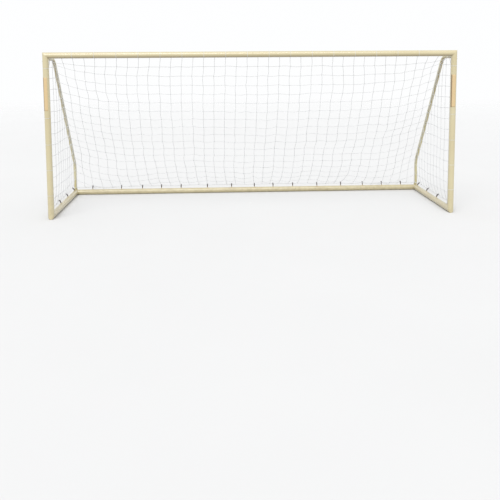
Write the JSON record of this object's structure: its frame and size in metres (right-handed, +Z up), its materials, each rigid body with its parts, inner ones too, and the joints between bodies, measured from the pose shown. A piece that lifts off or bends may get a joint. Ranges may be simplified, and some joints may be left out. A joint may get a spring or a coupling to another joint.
{
  "type": "soccer goal frame",
  "caption": "Free-standing steel-tube soccer goal with mitred mouth and ground frame, bent side stays, hooks along the ground tubes and a hung net.",
  "frame": {"origin": "bottom centre of the whole object's bounding box, on the ground, midway between the posts and midway from the mouth's front to the rear bolts' heads", "axes": "+Z up, the mouth faces -Y, the net's back is towards +Y, +X is to the right as seen from in front of the mouth"},
  "size_m": [5.1614, 1.6568, 2.076],
  "materials": {
    "frame_paint": "satin cream powder coat",
    "stay_paint": "satin olive-cream paint",
    "bare_steel": "plain mill steel inside the tubes",
    "zinc_bolt": "bright zinc plate",
    "hook_iron": "dark brown-black coated iron",
    "net_cord": "white laid polypropylene cord",
    "label_film": "plain tan film with a darker edge"
  },
  "bodies": {
    "root": {"bolt_crossbar_left": "zinc_bolt", "bolt_crossbar_right": "zinc_bolt", "bolt_front_left": "zinc_bolt", "bolt_front_right": "zinc_bolt", "bolt_rear_bar_left": "zinc_bolt", "bolt_rear_bar_right": "zinc_bolt", "bolt_rear_left": "zinc_bolt", "bolt_rear_right": "zinc_bolt", "bolt_stay_left": "zinc_bolt", "bolt_stay_right": "zinc_bolt", "bolt_top_left": "zinc_bolt", "bolt_top_right": "zinc_bolt", "crossbar_left": "frame_paint", "crossbar_right": "frame_paint", "crossbar_sleeve": "bare_steel", "front_elbow_left": "bare_steel", "front_elbow_right": "bare_steel", "net_back": "net_cord", "net_hook_left_1": "hook_iron", "net_hook_left_2": "hook_iron", "net_hook_left_3": "hook_iron", "net_hook_left_4": "hook_iron", "net_hook_rear_01": "hook_iron", "net_hook_rear_02": "hook_iron", "net_hook_rear_03": "hook_iron", "net_hook_rear_04": "hook_iron", "net_hook_rear_05": "hook_iron", "net_hook_rear_06": "hook_iron", "net_hook_rear_07": "hook_iron", "net_hook_rear_08": "hook_iron", "net_hook_rear_09": "hook_iron", "net_hook_rear_10": "hook_iron", "net_hook_rear_11": "hook_iron", "net_hook_rear_12": "hook_iron", "net_hook_rear_13": "hook_iron", "net_hook_rear_14": "hook_iron", "net_hook_rear_15": "hook_iron", "net_hook_right_1": "hook_iron", "net_hook_right_2": "hook_iron", "net_hook_right_3": "hook_iron", "net_hook_right_4": "hook_iron", "net_left": "net_cord", "net_right": "net_cord", "post_left": "frame_paint", "post_right": "frame_paint", "rear_bar_left": "frame_paint", "rear_bar_right": "frame_paint", "rear_bar_sleeve": "bare_steel", "rear_elbow_left": "bare_steel", "rear_elbow_right": "bare_steel", "side_bar_left": "frame_paint", "side_bar_right": "frame_paint", "stay_left": "stay_paint", "stay_right": "stay_paint", "stay_stub_foot_left": "frame_paint", "stay_stub_foot_right": "frame_paint", "stay_stub_top_left": "frame_paint", "stay_stub_top_right": "frame_paint", "top_elbow_left": "bare_steel", "top_elbow_right": "bare_steel"}
  },
  "joints": []
}
